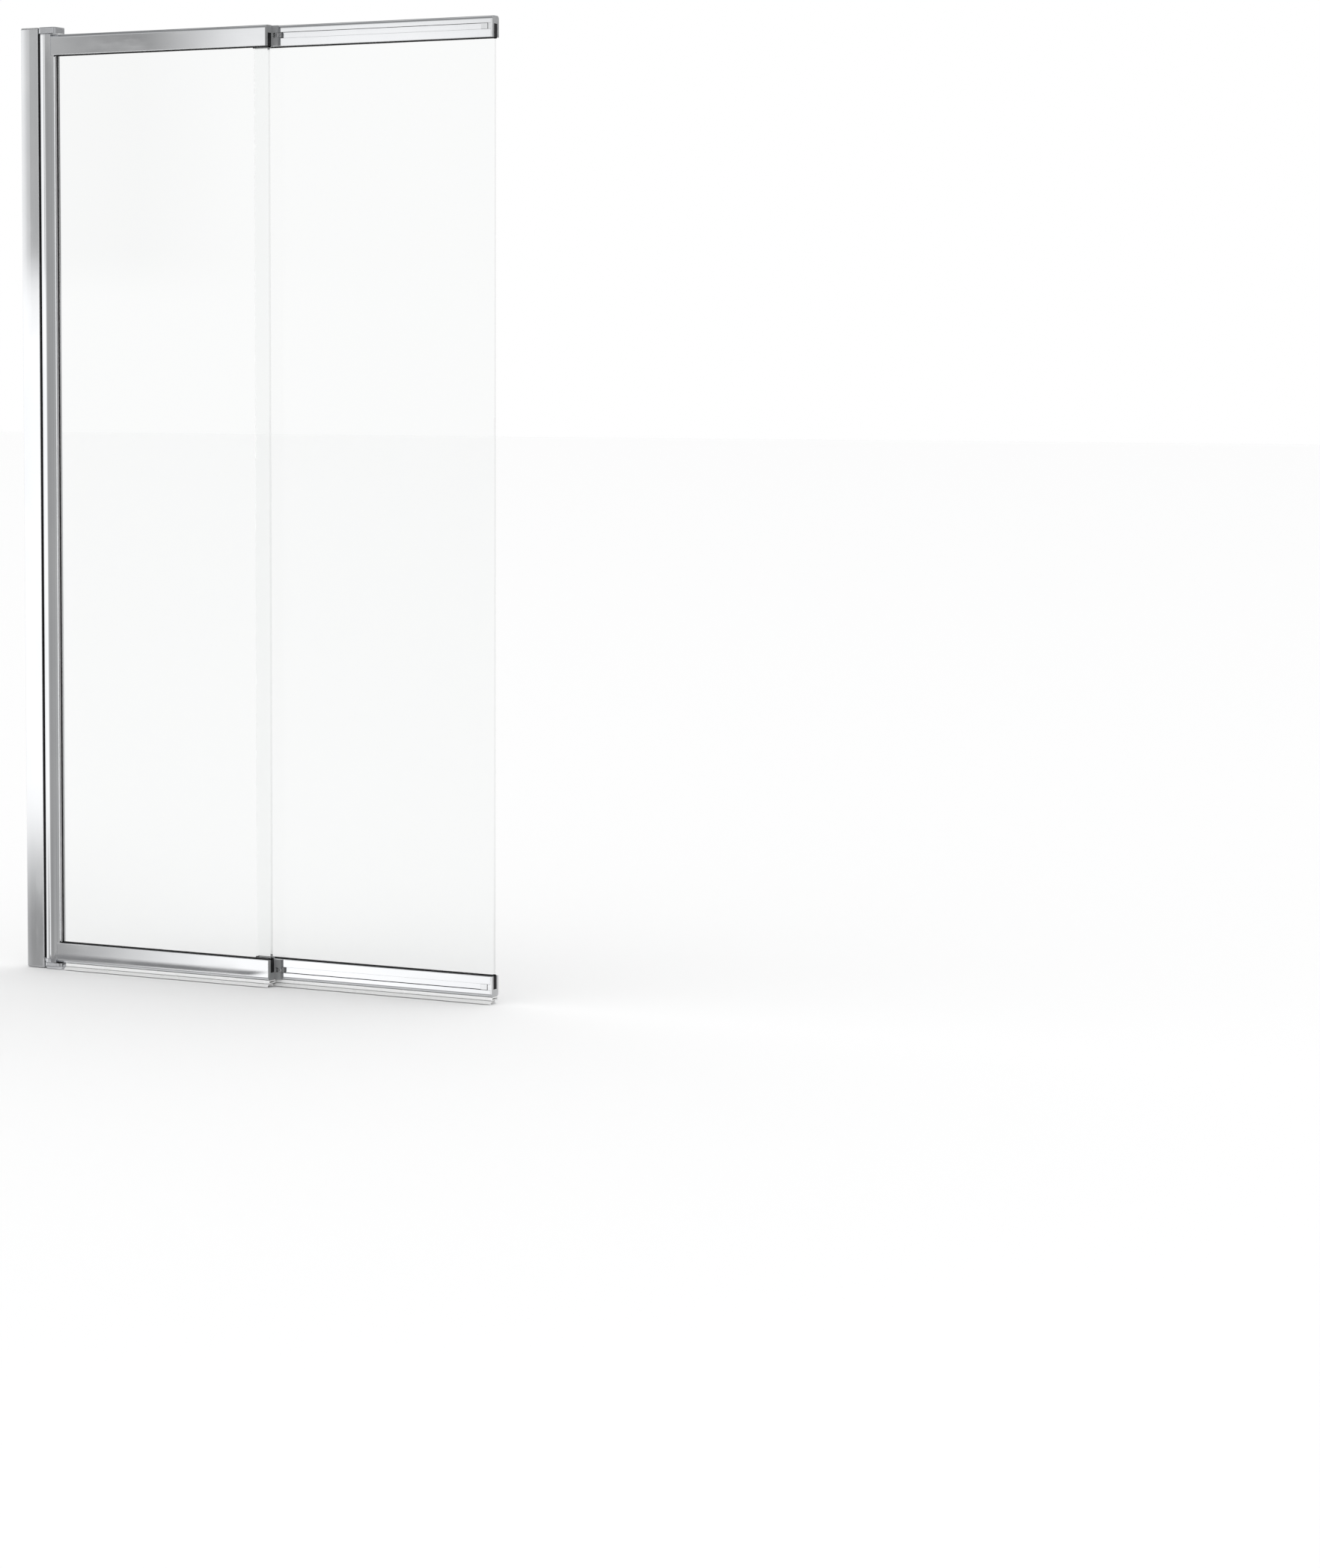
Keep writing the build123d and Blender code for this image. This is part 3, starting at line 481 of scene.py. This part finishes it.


# Painted shade: a mask that darkens the corners of the grooves, where shade falls in them.
def groove_shade(bottom, top, outward):
    """A mask of one in the corners of a leaf's two grooves, which face outwards or inwards."""
    low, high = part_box(bottom)
    middles = (low.z + groove_centre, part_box(top)[1].z - groove_centre)
    face = low.y if outward else high.y
    inward = 1 if outward else -1
    start = face + inward * groove_lip / 2
    floor_of_groove = face + inward * (groove_depth + groove_lip / 4)
    depths = sorted((start, floor_of_groove))

    def mask(place):
        y, z = place.axes()[1:]
        offsets = [z.maths("ABSOLUTE", z - middle) for middle in middles]
        off_middle = z.maths("MINIMUM", *offsets)
        corner = off_middle.smooth(groove_clean_half, groove_clean_half + shade_edge)
        inside = off_middle.smooth(groove_cavity_half, groove_cavity_half + shade_edge, 1.0, 0.0)
        return corner * inside * y.within(*depths)

    return mask


fixed_rails = ["fixed_rail_bottom", "fixed_rail_top"]
sliding_rails = ["slide_rail_bottom", "slide_rail_top"]
fixed_groove_shade = groove_shade(*fixed_rails, False)
sliding_groove_shade = groove_shade(*sliding_rails, True)
dress(fixed_rails, bright_metal("bright_metal_fixed_rail", "x", fixed_groove_shade))
dress(sliding_rails, bright_metal("bright_metal_sliding_rail", "x", sliding_groove_shade))

# Guide blocks close the free ends of the fixed rails, each with a slider that runs in
# a sliding rail's groove. Shoes on the sliding rails run in the fixed rails. All are
# moulded in grey plastic with a satin grain.
guide_grey = moulded("guide_grey", (0.235, 0.24, 0.245), (0.285, 0.29, 0.295), 0.35, 0.34)
guides = [piece + "_" + end for piece in ("guide_block", "slider", "shoe") for end in ("bottom", "top")]
dress(guides, guide_grey)

# The end caps of the sliding rails are moulded, then plated in vacuum to match the
# metal. The outer caps have plugs that go into the ends of the grooves.
plug_length = 0.007
end_line_width = 0.0018
end_line_edge = 0.0001


def plug_shade(place):
    """The painted shade of the sliding rails' grooves, and a painted shadow line where each groove ends.
    """
    x, y = place.axes()[:2]
    low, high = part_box("outer_cap_bottom")
    end = high.x - plug_length
    line = x.within(end - end_line_width, end)
    line = line * y.within(low.y + groove_lip / 2, low.y + groove_depth)
    corners = sliding_groove_shade(place) * x.smooth(end - end_line_edge, end, 1.0, 0.0)
    return line.maths("MAXIMUM", line, corners)


plated_plastic, place, feed = finish_of("plated_plastic", Metallic=1.0)
flow = noise(place, 90.0)
plated = flow.smooth(0.35, 0.7).blend((0.78, 0.79, 0.80), (0.84, 0.85, 0.86))
# Painted shade: the grooves' shade lines run on over the plugs, and a dark line is painted where each
# groove ends.
feed("Base Color", plug_shade(place).blend(plated, painted_shade_colour))
feed("Roughness", 0.08 + flow * 0.07)
feed("Normal", relief(place, flow, 0.12, 0.00006, 0.0004))
dress(["inner_cap_bottom", "inner_cap_top", "outer_cap_bottom", "outer_cap_top"], plated_plastic)

# The panes are clear toughened glass, 6 mm thick. Their long edges are ground and
# polished, and the faces have the faint marks of dried water.
edge_zone = (0.0005, 0.0007)
edge_clearness = 0.9


def pane_glass(name, left, right):
    """Clear glass with a slight tint, mostly faded out at its two edges along X.

    Faded edges stay pale, where full ones would mirror the dark parts of the studio.
    """
    material, place, feed = finish_of(name, IOR=1.45, Transmission_Weight=1.0)
    across = place.axes()[0]
    from_edge = across.maths("MINIMUM", across - left, right - across)
    edge = from_edge.smooth(*edge_zone, 1.0, 0.0)
    marks = noise(place, 26.0, 5.0, 0.6).smooth(0.56, 0.8)
    face = noise(place, 3.0, 2.0).blend((0.948, 0.955, 0.952), (0.956, 0.962, 0.959))
    feed("Base Color", edge.blend(face, (0.93, 0.95, 0.943)))
    feed("Roughness", marks * 0.012 + edge * 0.06)
    feed("Alpha", 1 - edge * edge_clearness)
    return material


for name in ("fixed_glass", "sliding_glass"):
    low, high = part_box(name)
    dress([name], pane_glass(name + "_clear", low.x, high.x))

# Each pane stands in U-shaped gaskets of extruded rubber, whose lips roll over the
# rounded edges of the slot. At a rail's open end the gasket is closed by a plate.
gasket_half = 0.0045
gasket_wall = 0.0015
gasket_lip = 0.0013
gasket_bead = 0.0004
gasket_flush = 0.00002
bead_rise = 0.0002
bead_drop = 0.0004
bead_shoulder = 0.0003
mouth_width = 0.0004
mouth_depth = 0.0005
gasket_rounding = 0.00012
gasket_end = 0.0007
plate_rounding = 0.0003


def rounded(corners, radius, steps=5):
    """A closed outline of these corners, each rounded to the radius.

    Each corner becomes a quadratic curve between the two points that lie on its sides
    at the radius divided by the tangent of half the corner's angle.
    """
    corners = np.array(corners, float)
    back = np.roll(corners, 1, 0) - corners
    ahead = np.roll(corners, -1, 0) - corners
    back /= np.linalg.norm(back, axis=1, keepdims=True)
    ahead /= np.linalg.norm(ahead, axis=1, keepdims=True)
    angle = np.arccos(np.clip((back * ahead).sum(1), -1, 1))
    reach = (radius / np.tan(angle / 2))[:, None]
    t = np.linspace(0, 1, steps)[None, :, None]
    start, middle, end = ((corners + v * reach)[:, None] for v in (back, 0 * back, ahead))
    return ((1 - t) ** 2 * start + 2 * t * (1 - t) * middle + t**2 * end).reshape(-1, 2)


def rectangle(half, low, high):
    """The four corners of a rectangle that lies evenly about the middle."""
    return [(-half, low), (half, low), (half, high), (-half, high)]


def gasket_outline(depth, rolled):
    """A U with its opening upwards, in pairs of across and height, with beads on its lips."""
    pane_half = gasket_half - gasket_wall
    lip_foot = depth - gasket_lip
    out = gasket_half + (gasket_bead if rolled else gasket_flush)
    right = [
        (gasket_half, 0),
        (gasket_half, lip_foot),
        (out, lip_foot + bead_rise),
        (out, depth - bead_drop),
        (gasket_half - bead_shoulder, depth),
        (pane_half + mouth_width, depth),
        (pane_half, depth - mouth_depth),
        (pane_half, gasket_wall),
    ]
    left = [(-across, height) for across, height in reversed(right)]
    return rounded(right + left, gasket_rounding, 4)


def rail_gasket(node, body, upwards, closed_left):
    """The gasket of one rail, with its opening upwards (1) or downwards (-1), and end plates."""
    low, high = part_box(node)
    depth = high.z - low.z
    seat = ((low.y + high.y) / 2, low.z if upwards == 1 else high.z)
    section = gasket_outline(depth, True) * (1, upwards) + seat
    plate = rounded(rectangle(gasket_half, 0, depth - gasket_lip), plate_rounding)
    plate = plate * (1, upwards) + seat
    left = low.x + (gasket_end if closed_left else 0)
    right = high.x - gasket_end
    shells = [drawn("x", (left, right), section), drawn("x", (right, high.x), plate)]
    if closed_left:
        shells.append(drawn("x", (low.x, left), plate))
    soft_piece(node + "_strip", node, body, black_rubber, shells)


for leaf, body, closed_left in (("fixed", "swing_leaf", False), ("slide", "slide_leaf", True)):
    for end, upwards in (("bottom", 1), ("top", -1)):
        rail_gasket(leaf + "_gasket_" + end, body, upwards, closed_left)

# The gasket in the post's channel is the same section in a greyer rubber. It has no
# beads on its lips, and opens away from the post.
grey_rubber = rubber("grey_rubber", (0.44, 0.44, 0.444), (0.50, 0.50, 0.504), 0.42)
low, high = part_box("post_gasket")
outline = gasket_outline(high.x - low.x, False)[:, ::-1] + (low.x, 0)
shells = [drawn("z", (low.z, high.z), outline)]
soft_piece("post_gasket_strip", "post_gasket", "swing_leaf", grey_rubber, shells)

# A seal hangs under each bottom rail, a hollow band with a curved lip on the outer
# side and a fin under its middle. It is extruded in soft clear vinyl, gone milky.
band_half = 0.0085
band_height = 0.0048
band_wall = 0.0012
band_rounding = 0.0007
bore_rounding = 0.0004
crease_height = 0.0009
crease_end = (0.0004, 0.0008)
lip_start = (0.0002, 0.0007)


def milky_vinyl(name, middle_y, band_foot):
    """A milky vinyl with painted shade: the thin lip is painted greyer, and a dark line of painted
    shadow lies in the crease over it.
    """
    material, place, feed = finish_of(name, IOR=1.5, Transmission_Weight=0.05)
    y, z = place.axes()[1:]
    haze = noise(stretched(place, (0.4, 1, 1)), 40.0, 4.0)
    film = noise(place, 900.0, 2.0)
    off_band = middle_y - band_half - y
    on_lip = off_band.smooth(*lip_start)
    # Painted shadow: a dark line in the crease where the lip meets the foot of the band.
    crease_shade = z.within(band_foot - crease_height / 2, band_foot + crease_height / 2)
    crease_shade = crease_shade * off_band.smooth(*crease_end, 1.0, 0.0)
    milky = haze.smooth(0.3, 0.7).blend((0.95, 0.952, 0.95), (0.98, 0.982, 0.98))
    # Painted shade: the lip is painted greyer than the band of the same vinyl, for the light it gets.
    milky = (on_lip * 0.75).blend(milky, (0.74, 0.745, 0.74))
    feed("Base Color", (crease_shade * 0.8).blend(milky, (0.25, 0.25, 0.25)))
    feed("Roughness", 0.2 + haze * 0.15)
    feed("Normal", relief(place, film, 0.15, 0.00004))
    return material


lip_points = 20
lip_stations = 61
lip_sway = 0.0004
lip_wave = 0.13
lip_thickness = (0.0011, 0.0006)
lip_root_y = -0.0066
lip_root_drop = 0.0052
lip_pull = (-0.0110, 0.0041)
lip_tip = (-0.0136, 0.0004)
fin_overlap = 0.0002
fin_pull = (0.0004, 0.0022)
fin_tip = (0.0024, 0.0004)


def curved_lip(root, pull, tip):
    """The outline of a lip along a quadratic curve from its root to its tip.

    Both sides lie half the thickness off the curve, square to it, and the thickness
    goes evenly from the root's to the tip's.
    """
    t = np.linspace(0, 1, lip_points)[:, None]
    root, pull, tip = (np.array(v, float) for v in (root, pull, tip))
    line = (1 - t) ** 2 * root + 2 * t * (1 - t) * pull + t**2 * tip
    heading = 2 * (1 - t) * (pull - root) + 2 * t * (tip - pull)
    heading /= np.linalg.norm(heading, axis=1, keepdims=True)
    square = heading[:, ::-1] * (-1, 1)
    at_root, at_tip = lip_thickness
    half = (at_root + (at_tip - at_root) * t) / 2
    return np.vstack([line + square * half, (line - square * half)[::-1]])


def swayed(points, foot):
    """The points of a lip, moved along Y by a slow wave that runs along X.

    The move is the sway times the square of how far a point hangs from the band's foot,
    as a share of the foot's height, times one more than the sine of its turn of the wave.
    """
    hang = np.clip((foot - points[:, 2]) / foot, 0, 1)
    move = lip_sway * hang**2 * (1 + np.sin(2 * np.pi * points[:, 0] / lip_wave))
    return points + move[:, None] * (0, 1, 0)


for node, body in (("fixed_seal", "swing_leaf"), ("sliding_seal", "slide_leaf")):
    low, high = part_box(node)
    middle_y = high.y - band_half
    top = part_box("fixed_rail_bottom")[0].z
    foot = top - band_height
    reach = (low.x, high.x)
    centre = (middle_y, 0)
    band = rounded(rectangle(band_half, foot, top), band_rounding)
    bore = rectangle(band_half - band_wall, foot + band_wall, top - band_wall)
    bore = rounded(bore, bore_rounding)
    shells = [drawn("x", reach, band + centre, bore + centre)]
    front = curved_lip((lip_root_y, top - lip_root_drop), lip_pull, lip_tip)
    fin = curved_lip((0, foot + fin_overlap), fin_pull, fin_tip)
    for outline in (front, fin):
        points, blocks = drawn("x", reach, outline + centre, stations=lip_stations)
        shells.append((swayed(points, foot), blocks))
    vinyl = milky_vinyl(node + "_vinyl", middle_y, foot)
    soft_piece(node + "_strip", node, body, vinyl, shells)
